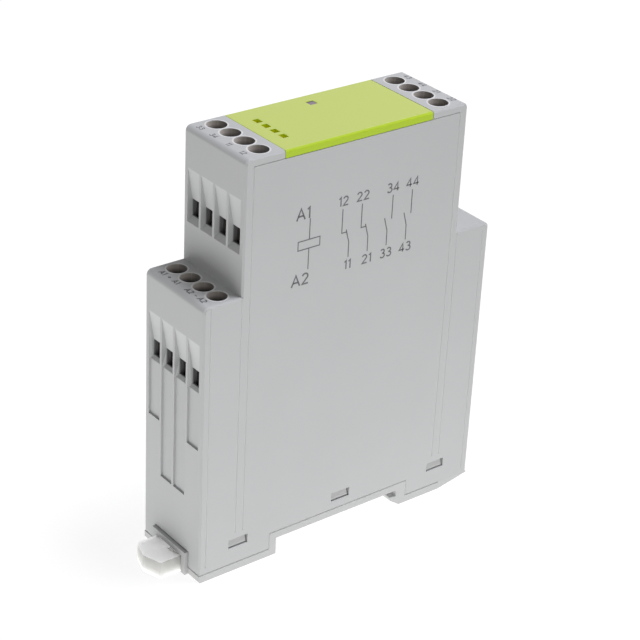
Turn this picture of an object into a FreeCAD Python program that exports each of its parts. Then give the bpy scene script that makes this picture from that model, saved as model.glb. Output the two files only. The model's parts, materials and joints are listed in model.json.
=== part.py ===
import FreeCAD, Part
import math
import os

# Safety relay module for a 35 mm mounting rail, in millimetres.
# Origin: centre of the face that sits on the rail.  +Z points away from the rail,
# Y runs along the rail, X along the long side of the housing; the rail clip is at -X.

# --- housing ---------------------------------------------------------------------------
WIDTH = 22.5              # along the rail
TIER_LENGTH = 80.1        # lower tiers, end face to end face
BLOCK_LENGTH = 60.6       # upper block, end face to end face
TIER_TOP = 66.15          # height of the lower tiers above the rail seat
BLOCK_TOP = 97.95         # height of the front plate above the rail seat
WALL = 1.6                # moulded wall of the housing
PROFILE_RADIUS = 1.3      # rounding where an end face meets a top
SIDE_BEVEL = 0.4          # bevel round both flat sides
GROOVE_WIDTH = 0.4        # shallow V groove that frames the flat sides
GROOVE_DEPTH = 0.18
SEAM_DEPTH = 0.3          # deeper groove along the seam across the end face
GROOVE_INSET = 2.1        # upper groove, in from the end face of the block
TIER_GROOVE_INSET = 1.75  # groove beside the end faces of the tiers
GROOVE_FOOT = 6.0         # height at which the long grooves end

# --- front plate -----------------------------------------------------------------------
PLATE_LENGTH = 40.3
PLATE_THICKNESS = 1.85
PLATE_GAP = 0.1           # seam round the plate
LAMP_X = 0.3              # lamp window
LAMP_Y = 6.9
LAMP_SIZE = 1.8
FIT = 0.1                 # clearance of pieces that only sit together
SLOT_X = -15.95           # row of four recesses in the plate
SLOT_PITCH = 3.15
SLOT_SIZE_X = 1.5
SLOT_SIZE_Y = 1.9
SLOT_DEPTH = 1.2
SNAP_X = 15.0             # snap legs under the plate
SNAP_WIDTH = 3.0
SNAP_THICKNESS = 1.2
SNAP_BARB = 0.5

# --- terminals -------------------------------------------------------------------------
POLES = 4
PITCH = 5.08
RIB = 0.8                 # wall between two terminal chambers
AXIS_INSET = 5.75         # screw axis, in from the end face
WELL_RADIUS = 2.3         # screwdriver hole in the tier top
WELL_DEPTH = 6.6
NECK_STEP = 0.25          # square neck that keeps the screw head in
NECK_HEIGHT = 0.9
SLEEVE_LENGTH = 6.0       # moulded sleeve round the screwdriver hole
FUNNEL_TOP = 9.5          # depths below the tier top
FUNNEL_BOTTOM = 22.2
THROAT_TOP = 17.0
THROAT_BOTTOM = 21.0
FUNNEL_RIB = 0.7
FUNNEL_DEPTH = 1.2
FRONT_WALL = 1.6          # end wall at the chambers
CHAMBER_PLAY = 0.7        # under the clamps
BACK_WALL = 1.0
SCREW_RADIUS = 1.45
SCREW_FIT = 0.05          # radial play of the screw in the clamp
HEAD_PLAY = 0.14          # between the screw head and the chamber's sides
HEAD_HEIGHT = 2.0
HEAD_GAP = 0.3            # between the neck and the screw head
DRIVE_SLOT = 0.6
DRIVE_DEPTH = 1.1
BAR_PLAY = 0.15           # between the conductor bar and the sides of the clamp
BAR_THICKNESS = 0.8
BAR_SHOULDER = 0.4        # bar behind the chamber, before its narrow tail
TAIL_PLAY = 0.33          # between the tails and the board
CLAMP_SIDE_PLAY = 0.19    # between the clamp and the chamber's sides
CLAMP_LENGTH = 6.9
CLAMP_END_PLAY = 0.2      # behind the clamps
CLAMP_SIDE = 0.5
CLAMP_TOP = 1.5
CLAMP_FLOOR = 0.6
CLAMP_PLAY = 0.2          # between the conductor bar and the clamp above it
CHANNEL_DEPTH = 0.5       # shallow channels that run down from the lower funnels
CHANNEL_LONG_END = 16.1
CHANNEL_SHORT_END = 30.35

# --- rail foot -------------------------------------------------------------------------
FOOT_DEPTH = 4.35         # feet below the rail seat
RIM = 1.95                # visible height of the foot piece
SEAT_RIM = 1.85           # its height above the rail seat
SLOT_LEFT = -18.5         # rail slot walls
SLOT_RIGHT = 17.55
RIM_SIDE = 20.5           # edge of the rim beside the slot
HOOK_REACH = 1.7
HOOK_GAP = 1.7            # room for the rail flange
HOOK_LIP = 0.75
HOOK_SLOPE = 1.05         # run of the slope from the slot wall to the foot
FOOT_SLOPE_X = 31.0       # where the right foot starts to rise
FOOT_END = 0.15           # height of the rim where that slope ends
SKIRT = 1.2               # upstand of the foot piece inside the housing
SKIRT_TOP = 7.0
WINDOW_SPACING = 29.4     # snap windows in both sides
WINDOW_LENGTH = 5.3
WINDOW_HEIGHT = 2.35
WINDOW_FOOT = 2.0
MIDDLE_WINDOW_FOOT = 4.05
LUG_PLAY = 0.35           # below and beside the snap lug
LUG_RECESS = 0.25
LUG_RAMP = 0.5            # run of the lead-in ramp up the face of the lug

# --- rail clip -------------------------------------------------------------------------
GUIDE_HALF = 6.65         # outside half width of the guide frame
GUIDE_WALL = 1.55
GUIDE_TOP = 1.65
GUIDE_ROOF = 1.45
GUIDE_REACH = 0.85        # how far the frame stands out of the end face
GUIDE_SEAM = 0.25         # gap between the frame and the housing
GUIDE_PLAY = 0.2
CLIP_SIDE_PLAY = 0.2      # between the handle and the guide frame
CLIP_NOSE = 7.8           # reach of the nose tip from the end face
CLIP_SHOULDER = 6.2       # reach of its shoulders
CLIP_NICK = 0.8           # nick in the top of the handle, beside the guide frame
CLIP_NICK_DEPTH = 0.5
CLIP_TOP = 0.05
CLIP_LIFT = 0.1           # handle above the foot plane
ARM_WIDTH = 1.3
ARM_BOTTOM = -3.4
ARM_TOP = -0.9
CATCH_TIP = -16.75        # catch in the rail slot
CATCH_TOP = -1.3
CATCH_ROOT = -19.6
CATCH_STEP = 0.6          # catch narrower than the arms, on each side
BRIDGE_LENGTH = 3.6
POST_INSET = 5.05         # spring post, in from the end face
POST_SIZE = 1.4
SPRING_HALF = 2.8
SPRING_FOLD = 1.5         # strip thickness, measured along Y
SPRING_FOLDS = 4

# --- circuit board and its small components --------------------------------------------
BOARD_STAND = 0.6         # air between the housing's side and the back of the board
BOARD_THICKNESS = 1.6
BOARD_PLAY = 0.5          # air round the edge of the board
LAMP_DROP = 4.1           # top of the lamp below the seat of the front plate
LED_SIZE = 1.6
ROW_DROP = 12.15          # row of larger components, below the tops of the tiers
RECTIFIER_END = -9.0
RECTIFIER_LENGTH = 9.0
RECTIFIER_WIDTH = 6.5
RECTIFIER_HEIGHT = 3.4
RECTIFIER_BEVEL = 0.5
VARISTOR_X = 16.0
VARISTOR_RADIUS = 5.2
VARISTOR_THICKNESS = 3.8
VARISTOR_FOOT = 0.6       # air under the disc
VARISTOR_LEAD_SPAN = 5.0
VARISTOR_LEAD_WIDTH = 2.0
CAPACITOR_X = 30.0
CAPACITOR_RADIUS = 4.0
CAPACITOR_HEIGHT = 11.5
RESISTOR_END = -9.0
RESISTOR_LENGTH = 6.5
RESISTOR_RADIUS = 1.15
RESISTOR_RISE = 1.4       # axis above the board
RESISTOR_LIFT = 12.0      # first resistor above that row
RESISTOR_PITCH = 3.6
RESISTOR_LEAD = 0.5
RESISTOR_LEAD_REACH = 1.4

# --- relay -----------------------------------------------------------------------------
PIN_STAND = 0.45          # pins stand out behind the board
PIN_SIZE = 0.8
PIN_PITCH = 2.54
PIN_INSET = 2.8           # first leg, in from the back wall of the chambers
RELAY_LENGTH = 50.0
RELAY_DEPTH = 30.0
RELAY_ROOF_PLAY = 1.1     # air between the relay cover and the housing's side
RELAY_FOOT = 10.0         # lower edge of the relay above the rail seat
RELAY_WALL = 0.8
RELAY_PLATE = 2.0
COIL_SHARE = 0.25         # share of the relay's free depth beyond the coil
COIL_FOOT_PLAY = 0.2      # between the yoke and the flanges
COIL_ROOF_PLAY = 1.1      # between the flanges and the relay cover
FLANGE_THICKNESS = 1.2
BOBBIN_LENGTH = 30.6
BOBBIN_WALL = 0.5         # square tube inside the winding
WINDING_STEP = 0.3        # winding stays below the rim of the flanges
WINDING_DEPTH = 1.3
WINDING_CORNER = 0.9
POLE_STEP = 0.8           # pole face inside the rim of the flanges
POLE_REACH = 1.3          # pole face beyond the bobbin
POLE_THICKNESS = 1.2
YOKE_PLAY = 0.8           # between the back of the yoke and the relay cover
YOKE_THICKNESS = 1.4
YOKE_GAP = 0.1            # between the yoke and the armature
YOKE_BEND = 1.4
COIL_PIN_INSET = 1.5
COIL_PIN_STEP = 0.9       # coil pins beside the rim of the flange
PARTITION = 1.0           # wall between coil and contacts
PARTITION_PLAY = 0.7
ARMATURE_GAP = 1.2
ARMATURE_THICKNESS = 1.4
PIVOT_RISE = 2.8
EAR_DEPTH = 4.0
SLIDE_THICKNESS = 1.2
SLIDE_WIDTH = 8.0
SLIDE_RIM = 1.4           # material beside the last slot of the slide
CONTACT_SHARE = 0.32      # share of the relay's free depth below the contacts
CONTACT_PITCH = 8.6
CONTACT_INSET = 7.5       # first blade, in from the end of the relay
BLADE_WIDTH = 4.0
BLADE_THICKNESS = 0.3
BLADE_PLAY = 0.15
BLADE_ROOF_PLAY = 2.2     # between the blades and the relay cover
BLADE_PROUD = 0.8         # blades above the slide
TIP_DROP = 2.5            # contact tips below the slide
TIP_WIDTH = 1.8
TIP_HEIGHT = 0.4
OPEN_GAP = 0.72
CLOSED_GAP = 0.03
POST_THICKNESS = 0.5
POST_PROUD = 1.5          # fixed posts above their tips

# --- worked out from the above ---------------------------------------------------------
HALF_WIDTH = WIDTH / 2
HALF_TIER = TIER_LENGTH / 2
HALF_BLOCK = BLOCK_LENGTH / 2
HALF_PLATE = PLATE_LENGTH / 2
PLATE_BASE = BLOCK_TOP - PLATE_THICKNESS
INSIDE = HALF_WIDTH - WALL
CELL = PITCH - RIB
HEAD_RADIUS = CELL / 2 - HEAD_PLAY
NECK_WIDTH = 2 * (HEAD_RADIUS - NECK_STEP)
CLAMP_WIDTH = CELL - 2 * CLAMP_SIDE_PLAY
THROAT_WIDTH = CLAMP_WIDTH
BAR_WIDTH = CLAMP_WIDTH - 2 * (CLAMP_SIDE + BAR_PLAY)
CHAMBER_FLOOR = THROAT_BOTTOM + CLAMP_FLOOR + CHAMBER_PLAY
CHAMBER_END = AXIS_INSET + CLAMP_LENGTH / 2 + CLAMP_END_PLAY
BANK_LENGTH = CHAMBER_END + BACK_WALL
BANK_DEPTH = CHAMBER_FLOOR + BACK_WALL
BAR_TOP = THROAT_TOP - BAR_THICKNESS
HEAD_TOP = WELL_DEPTH + NECK_HEIGHT + HEAD_GAP
CLAMP_ROOF = BAR_TOP - CLAMP_PLAY
RIM_TOP = RIM - FOOT_DEPTH
FOOT_SLOPE_RISE = RIM - FOOT_END
CHANNEL_RISE = CHANNEL_DEPTH * (FUNNEL_BOTTOM - THROAT_BOTTOM) / FUNNEL_DEPTH
CHANNEL_TOP = TIER_TOP - FUNNEL_BOTTOM + CHANNEL_RISE
GUIDE_FRONT = HALF_TIER + GUIDE_REACH
GUIDE_INNER = GUIDE_HALF - GUIDE_WALL
ARM_OUTER = GUIDE_INNER - GUIDE_PLAY
ARM_INNER = ARM_OUTER - ARM_WIDTH
CLIP_HALF = GUIDE_INNER - CLIP_SIDE_PLAY
POST_X = POST_INSET - HALF_TIER
CLIP_BOTTOM = CLIP_LIFT - FOOT_DEPTH
BOARD_BACK = INSIDE - BOARD_STAND
BOARD_FACE = BOARD_BACK - BOARD_THICKNESS         # component side
PIN_END = BOARD_BACK + PIN_STAND
COMPONENT_ROW = TIER_TOP - ROW_DROP
LED_TOP = PLATE_BASE - LAMP_DROP
BOARD_TOP = LED_TOP - FIT
RELAY_TOP = RELAY_FOOT + RELAY_DEPTH
RELAY_HALF = RELAY_LENGTH / 2
RELAY_HEIGHT = BOARD_FACE + INSIDE - RELAY_ROOF_PLAY
RELAY_ROOF = RELAY_HEIGHT - RELAY_WALL            # inside of the cover, above the board
YOKE_FOOT = RELAY_PLATE + FIT
COIL_FOOT = YOKE_FOOT + YOKE_THICKNESS + COIL_FOOT_PLAY
FLANGE_HALF = (RELAY_ROOF - COIL_ROOF_PLAY - COIL_FOOT) / 2
COIL_RISE = COIL_FOOT + FLANGE_HALF               # coil axis above the board
RELAY_FREE = RELAY_DEPTH - 2 * (RELAY_WALL + FLANGE_HALF) - SLIDE_WIDTH
COIL_Z = RELAY_TOP - RELAY_WALL - COIL_SHARE * RELAY_FREE - FLANGE_HALF
YOKE_BACK = RELAY_WALL + YOKE_PLAY - RELAY_HALF
BOBBIN_LEFT = YOKE_BACK + YOKE_THICKNESS + FIT
BOBBIN_RIGHT = BOBBIN_LEFT + BOBBIN_LENGTH
BOBBIN_HALF = FLANGE_HALF - WINDING_STEP - WINDING_DEPTH
CORE_RADIUS = BOBBIN_HALF - BOBBIN_WALL - FIT
POLE_FACE = BOBBIN_RIGHT + POLE_REACH
ARMATURE_FACE = POLE_FACE + ARMATURE_GAP
ARMATURE_BACK = ARMATURE_FACE + ARMATURE_THICKNESS
CONTACT_Z = RELAY_FOOT + RELAY_WALL + CONTACT_SHARE * RELAY_FREE + SLIDE_WIDTH / 2
CONTACT_FIRST = CONTACT_INSET - RELAY_HALF
BLADE_TOP = RELAY_ROOF - BLADE_ROOF_PLAY
SLIDE_TOP = BLADE_TOP - BLADE_PROUD
SLIDE_RISE = SLIDE_TOP - SLIDE_THICKNESS
TIP_RISE = SLIDE_RISE - TIP_DROP
POST_TOP = TIP_RISE + POST_PROUD
COLUMNS = [(n - (POLES - 1) / 2) * PITCH for n in range(POLES)]

# bank name: side of the module (+1 is +X), distance of its end face, height of its top
BANKS = {
    "upper_left": (-1, HALF_BLOCK, BLOCK_TOP),
    "upper_right": (1, HALF_BLOCK, BLOCK_TOP),
    "lower_left": (-1, HALF_TIER, TIER_TOP),
}


# --- helpers ---------------------------------------------------------------------------
def point(x, y, z):
    return FreeCAD.Vector(x, y, z)


def box(x_span, y_span, z_span):
    x0, x1 = sorted(x_span)
    y0, y1 = sorted(y_span)
    z0, z1 = sorted(z_span)
    return Part.makeBox(x1 - x0, y1 - y0, z1 - z0, point(x0, y0, z0))


def upright(x, y, z_span, radius):
    z0, z1 = sorted(z_span)
    return Part.makeCylinder(radius, z1 - z0, point(x, y, z0), point(0, 0, 1))


def lying(x_span, y, z, radius):
    x0, x1 = sorted(x_span)
    return Part.makeCylinder(radius, x1 - x0, point(x0, y, z), point(1, 0, 0))


def across(x, y_span, z, radius):
    y0, y1 = sorted(y_span)
    return Part.makeCylinder(radius, y1 - y0, point(x, y0, z), point(0, 1, 0))


def fuse(shapes):
    first, *rest = shapes
    return first.multiFuse(rest).removeSplitter() if rest else first


def cut(shape, tools):
    return shape.cut(list(tools))


def arc_corner(before, corner, after, radius):
    """Start, middle and end of the arc that rounds one corner of an outline."""
    to_before = (before - corner).normalize()
    to_after = (after - corner).normalize()
    half = to_before.getAngle(to_after) / 2
    reach = radius / math.tan(half)
    middle = (to_before + to_after).normalize()
    centre = corner + middle * (radius / math.sin(half))
    return corner + to_before * reach, centre - middle * radius, corner + to_after * reach


def outline(corners):
    """Closed wire through (x, y, z, radius) corners, with tangent arcs where radius > 0."""
    spots = [point(*c[:3]) for c in corners]
    edges = []
    starts = []
    for n, (spot, corner) in enumerate(zip(spots, corners)):
        if corner[3] > 0:
            start, middle, end = arc_corner(
                spots[n - 1], spot, spots[(n + 1) % len(spots)], corner[3])
            edges.append(Part.Arc(start, middle, end).toShape())
            starts.append((start, end))
        else:
            starts.append((spot, spot))
    for (_, end), (start, _) in zip(starts, starts[1:] + starts[:1]):
        if end.distanceToPoint(start) > 1e-6:
            edges.append(Part.makeLine(end, start))
    return Part.Wire(Part.__sortEdges__(edges))


def prism_xz(corners, y_span):
    """Solid with an (x, z, radius) outline, drawn out along Y."""
    y0, y1 = sorted(y_span)
    face = Part.Face(outline([(x, y0, z, r) for x, z, r in corners]))
    return face.extrude(point(0, y1 - y0, 0))


def prism_xy(corners, z_span):
    """Solid with an (x, y, radius) outline, drawn out along Z."""
    z0, z1 = sorted(z_span)
    face = Part.Face(outline([(x, y, z0, r) for x, y, r in corners]))
    return face.extrude(point(0, 0, z1 - z0))


def frustum(first, second):
    """Flat-faced solid between two four-cornered ends."""
    sides = [[first[n - 1], first[n], second[n], second[n - 1]] for n in range(4)]
    faces = [Part.Face(Part.makePolygon(loop + loop[:1])) for loop in [first, second] + sides]
    return Part.Solid(Part.makeShell(faces))


def bank_x(bank, inset):
    side, end, _ = BANKS[bank]
    return side * (end - inset)


def bank_box(bank, inset_span, y_span, depth_span):
    """Box placed by its inset from the bank's end face and its depth below the top."""
    top = BANKS[bank][2]
    return box([bank_x(bank, u) for u in inset_span], y_span,
               [top - d for d in depth_span])


def column_span(y, width):
    return (y - width / 2, y + width / 2)


# --- housing ---------------------------------------------------------------------------
def outer_body():
    """Outside of housing and front plate together: stepped, with rounded edges."""
    r = PROFILE_RADIUS
    corners = [
        (-HALF_TIER, RIM_TOP, 0), (-RIM_SIDE, RIM_TOP, 0), (-RIM_SIDE, SEAT_RIM, 0),
        (RIM_SIDE, SEAT_RIM, 0), (RIM_SIDE, RIM_TOP, 0), (HALF_TIER, RIM_TOP, 0),
        (HALF_TIER, TIER_TOP, r), (HALF_BLOCK, TIER_TOP, 0), (HALF_BLOCK, BLOCK_TOP, r),
        (-HALF_BLOCK, BLOCK_TOP, r), (-HALF_BLOCK, TIER_TOP, 0), (-HALF_TIER, TIER_TOP, r),
    ]
    body = prism_xz(corners, (-HALF_WIDTH, HALF_WIDTH))
    rim = []
    for edge in body.Edges:
        span = edge.BoundBox
        on_side = span.YLength < 1e-6 and abs(abs(span.YMin) - HALF_WIDTH) < 1e-6
        if on_side and span.ZMax > SEAT_RIM + 1:
            rim.append(edge)
    return body.makeChamfer(SIDE_BEVEL, rim)


def plate_cutter(gap):
    reach = WIDTH
    return box((-HALF_PLATE - gap, HALF_PLATE + gap), (-reach, reach),
               (PLATE_BASE - gap, BLOCK_TOP + reach))


def inner_space():
    """Hollow of the housing, open at the foot, without the terminal banks."""
    tier = HALF_TIER - WALL
    block = HALF_BLOCK - WALL
    below = RIM_TOP - WALL
    space = fuse([
        box((-tier, tier), (-INSIDE, INSIDE), (below, TIER_TOP - WALL)),
        box((-block, block), (-INSIDE, INSIDE), (below, PLATE_BASE - WALL)),
    ])
    banks = [bank_box(b, (-WALL, BANK_LENGTH), (-WIDTH, WIDTH), (-WALL, BANK_DEPTH))
             for b in BANKS]
    return cut(space, banks)


def funnel(bank, y):
    """Wire entry: a sloping funnel in the end face, then a square throat."""
    top = BANKS[bank][2]
    ends = []
    for inset, width, upper, lower in (
            (0, PITCH - FUNNEL_RIB, FUNNEL_TOP, FUNNEL_BOTTOM),
            (FUNNEL_DEPTH, THROAT_WIDTH, THROAT_TOP, THROAT_BOTTOM)):
        x = bank_x(bank, inset)
        y0, y1 = column_span(y, width)
        ends.append([point(x, y0, top - lower), point(x, y1, top - lower),
                     point(x, y1, top - upper), point(x, y0, top - upper)])
    mouth = frustum(*ends)
    throat = bank_box(bank, (FUNNEL_DEPTH, FRONT_WALL), column_span(y, THROAT_WIDTH),
                      (THROAT_TOP, THROAT_BOTTOM))
    return [mouth, throat]


def chamber(bank, y):
    """Room for one clamp and its screw, round the sleeve of the screwdriver hole."""
    top = BANKS[bank][2]
    x = bank_x(bank, AXIS_INSET)
    room = bank_box(bank, (FRONT_WALL, CHAMBER_END), column_span(y, CELL),
                    (WALL, CHAMBER_FLOOR))
    sleeve = box((x - SLEEVE_LENGTH / 2, x + SLEEVE_LENGTH / 2), column_span(y, PITCH),
                 (top, top - WELL_DEPTH - NECK_HEIGHT))
    well = upright(x, y, (top + 1, top - WELL_DEPTH), WELL_RADIUS)
    neck = box((x - NECK_WIDTH / 2, x + NECK_WIDTH / 2), column_span(y, NECK_WIDTH),
               (top - WELL_DEPTH, top - HEAD_TOP))
    bar_slot = bank_box(bank, (CHAMBER_END, BANK_LENGTH), column_span(y, BAR_WIDTH + 2 * FIT),
                        (BAR_TOP - FIT, THROAT_TOP + FIT))
    return [room.cut(sleeve), well, neck, bar_slot]


def channels():
    """Shallow channels down the end face, from the sills of the lower wire entries."""
    cuts = []
    for n, y in enumerate(COLUMNS):
        end = CHANNEL_SHORT_END if n in (0, POLES - 1) else CHANNEL_LONG_END
        cuts.append(box((-HALF_TIER - 1, -HALF_TIER + CHANNEL_DEPTH),
                        column_span(y, PITCH - FUNNEL_RIB), (end, CHANNEL_TOP)))
    return cuts


def v_groove(start, end, side):
    """V groove between two (x, z) points of a flat side."""
    (x0, z0), (x1, z1) = start, end
    y = side * HALF_WIDTH
    along = point(x1 - x0, 0, z1 - z0)
    aside = point(z1 - z0, 0, x0 - x1).normalize() * (GROOVE_WIDTH / 2)
    base = point(x0, y, z0)
    bottom = point(x0, y - side * GROOVE_DEPTH, z0)
    section = Part.Face(Part.makePolygon([base - aside, bottom, base + aside, base - aside]))
    return section.extrude(along)


def side_grooves():
    inner = HALF_BLOCK - GROOVE_INSET
    outer = HALF_TIER - TIER_GROOVE_INSET
    lines = [((-inner, PLATE_BASE), (inner, PLATE_BASE))]
    for s in (-1, 1):
        lines.append(((s * inner, GROOVE_FOOT), (s * inner, PLATE_BASE)))
        lines.append(((s * HALF_BLOCK, GROOVE_FOOT), (s * HALF_BLOCK, TIER_TOP - SIDE_BEVEL)))
        lines.append(((s * outer, RIM_TOP + WALL), (s * outer, TIER_TOP - SIDE_BEVEL)))
    return [v_groove(a, b, side) for a, b in lines for side in (-1, 1)]


def seam_grooves():
    """V groove along the seam between housing and foot, on the sides and the clip's end."""
    run = [(-HALF_TIER, RIM_TOP), (-RIM_SIDE, RIM_TOP), (-RIM_SIDE, SEAT_RIM),
           (RIM_SIDE, SEAT_RIM), (RIM_SIDE, RIM_TOP), (FOOT_SLOPE_X, RIM_TOP)]
    end = prism_xz([(-HALF_TIER, RIM_TOP - GROOVE_WIDTH / 2, 0),
                    (SEAM_DEPTH - HALF_TIER, RIM_TOP, 0),
                    (-HALF_TIER, RIM_TOP + GROOVE_WIDTH / 2, 0)], (-HALF_WIDTH, HALF_WIDTH))
    return [end] + [v_groove(a, b, side) for a, b in zip(run, run[1:]) for side in (-1, 1)]


def window_places():
    for n in (-1, 0, 1):
        yield n * WINDOW_SPACING, WINDOW_FOOT if n else MIDDLE_WINDOW_FOOT


def snap_windows():
    half = WINDOW_LENGTH / 2
    return [box((x - half, x + half), (-WIDTH, WIDTH), (z, z + WINDOW_HEIGHT))
            for x, z in window_places()]


def guide_opening():
    """Cut-out in the end wall round the guide frame of the clip."""
    half = GUIDE_HALF + GUIDE_SEAM
    return box((-HALF_TIER - 1, -HALF_TIER + WALL + 1), (-half, half),
               (RIM_TOP - 1, GUIDE_TOP + GUIDE_SEAM))


def plate_openings():
    """Openings in the wall under the plate for its snap legs and the light guide."""
    z_span = (PLATE_BASE - 2 * WALL, PLATE_BASE + WALL)
    half_x = SNAP_THICKNESS / 2 + SNAP_BARB + FIT
    half_y = SNAP_WIDTH / 2 + FIT
    lamp = LAMP_SIZE / 2 + FIT
    holes = [box((s * SNAP_X - half_x, s * SNAP_X + half_x), (-half_y, half_y), z_span)
             for s in (-1, 1)]
    holes.append(box((LAMP_X - lamp, LAMP_X + lamp), (LAMP_Y - lamp, LAMP_Y + lamp), z_span))
    return holes


def housing():
    body = cut(outer_body(), [plate_cutter(PLATE_GAP), inner_space()])
    tools = channels() + snap_windows() + plate_openings() + [guide_opening()]
    for bank in BANKS:
        for y in COLUMNS:
            tools += chamber(bank, y) + funnel(bank, y)
    return cut(cut(body, tools), side_grooves() + seam_grooves())


# --- front -----------------------------------------------------------------------------
def front_plate():
    plate = outer_body().common(plate_cutter(0))
    plate = plate.cut(box((-HALF_BLOCK, HALF_BLOCK), (-WIDTH, WIDTH), (0, PLATE_BASE)))
    legs = []
    foot = PLATE_BASE - PLATE_GAP - WALL - FIT
    for s in (-1, 1):
        x = s * SNAP_X
        half = SNAP_THICKNESS / 2
        barb = [(x - half, PLATE_BASE, 0), (x - half, foot - 2, 0), (x + half, foot - 2, 0),
                (x + half + SNAP_BARB, foot - 0.5, 0), (x + half + SNAP_BARB, foot, 0),
                (x + half, foot, 0), (x + half, PLATE_BASE, 0)]
        legs.append(prism_xz(barb, (-SNAP_WIDTH / 2, SNAP_WIDTH / 2)))
    lamp = LAMP_SIZE / 2 + FIT / 2
    holes = [box((LAMP_X - lamp, LAMP_X + lamp), (LAMP_Y - lamp, LAMP_Y + lamp),
                 (PLATE_BASE - 1, BLOCK_TOP + 1))]
    for n in range(4):
        y = (n - 1.5) * SLOT_PITCH
        holes.append(box((SLOT_X - SLOT_SIZE_X / 2, SLOT_X + SLOT_SIZE_X / 2),
                         column_span(y, SLOT_SIZE_Y), (BLOCK_TOP - SLOT_DEPTH, BLOCK_TOP + 1)))
    return cut(fuse([plate] + legs), holes)


def light_guide():
    """Clear stick from the lamp on the board to the window in the front plate."""
    half = LAMP_SIZE / 2
    x_span = (LAMP_X - half, LAMP_X + half)
    y_span = (LAMP_Y - half, LAMP_Y + half)
    flange = PLATE_BASE - PLATE_GAP - WALL - FIT
    stick = box(x_span, y_span, (LED_TOP + FIT, BLOCK_TOP - FIT))
    collar = box((x_span[0] - 0.6, x_span[1] + 0.6), (y_span[0] - 0.6, BOARD_FACE - FIT),
                 (flange - 0.8, flange))
    return fuse([stick, collar])


# --- rail foot -------------------------------------------------------------------------
def rim():
    """Stepped plate that closes the housing below and forms the rail slot and its hook."""
    lip_x = SLOT_RIGHT - HOOK_REACH
    corners = [
        (-HALF_TIER, -FOOT_DEPTH, 0.4), (SLOT_LEFT, -FOOT_DEPTH, 0), (SLOT_LEFT, 0, 0),
        (SLOT_RIGHT, 0, 0), (SLOT_RIGHT, -HOOK_GAP, 0), (lip_x, -HOOK_GAP, 0.2),
        (lip_x, -HOOK_GAP - HOOK_LIP, 0.2), (SLOT_RIGHT + HOOK_SLOPE, -FOOT_DEPTH, 0),
        (FOOT_SLOPE_X, -FOOT_DEPTH, 0), (HALF_TIER, FOOT_SLOPE_RISE - FOOT_DEPTH, 0),
        (HALF_TIER, RIM_TOP, 0), (RIM_SIDE, RIM_TOP, 0), (RIM_SIDE, SEAT_RIM, 0),
        (-RIM_SIDE, SEAT_RIM, 0), (-RIM_SIDE, RIM_TOP, 0), (-HALF_TIER, RIM_TOP, 0),
    ]
    return prism_xz(corners, (-HALF_WIDTH, HALF_WIDTH))


def skirt():
    """Upstand that slides into the housing, with one snap lug for each window."""
    outer_x = HALF_TIER - WALL - FIT
    outer_y = INSIDE - FIT
    ring = box((-outer_x, outer_x), (-outer_y, outer_y), (RIM_TOP, SKIRT_TOP))
    hollow = box((SKIRT - outer_x, outer_x - SKIRT), (SKIRT - outer_y, outer_y - SKIRT),
                 (RIM_TOP, SKIRT_TOP))
    slot_space = box((-RIM_SIDE, RIM_SIDE), (-WIDTH, WIDTH), (RIM_TOP, SEAT_RIM))
    pieces = [ring.cut(hollow).cut(slot_space)]
    reach = HALF_WIDTH - LUG_RECESS
    root = outer_y - SKIRT / 2
    half = WINDOW_LENGTH / 2
    for x, z in window_places():
        for s in (-1, 1):
            lower, upper = z + LUG_PLAY, z + WINDOW_HEIGHT - FIT
            section = [point(x - half + FIT, s * root, lower),
                       point(x - half + FIT, s * reach, lower),
                       point(x - half + FIT, s * (reach - LUG_RAMP), upper),
                       point(x - half + FIT, s * root, upper),
                       point(x - half + FIT, s * root, lower)]
            lug = Part.Face(Part.makePolygon(section))
            pieces.append(lug.extrude(point(WINDOW_LENGTH - FIT - LUG_PLAY, 0, 0)))
    return pieces


def rail_base():
    guide = box((-GUIDE_FRONT, -RIM_SIDE), (-GUIDE_HALF, GUIDE_HALF), (-FOOT_DEPTH, GUIDE_TOP))
    body = fuse([rim(), guide] + skirt())
    roof = GUIDE_TOP - GUIDE_ROOF
    channel = box((-GUIDE_FRONT - 1, -RIM_SIDE), (-GUIDE_INNER, GUIDE_INNER),
                  (-FOOT_DEPTH - 1, roof))
    catch_gate = box((-RIM_SIDE - 1, SLOT_LEFT + 1), (-ARM_OUTER, ARM_OUTER),
                     (-FOOT_DEPTH - 1, ARM_TOP + GUIDE_PLAY))
    body = cut(body, [channel, catch_gate])
    rails = [box((-HALF_TIER + WALL, -RIM_SIDE), (s * GUIDE_INNER, s * (ARM_INNER + 0.3)),
                 (-FOOT_DEPTH, ARM_BOTTOM - FIT)) for s in (-1, 1)]
    post = box((POST_X - POST_SIZE / 2, POST_X + POST_SIZE / 2),
               (-SPRING_HALF, SPRING_HALF), (ARM_BOTTOM, roof))
    return cut(fuse([body, post] + rails), seam_grooves())


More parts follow.
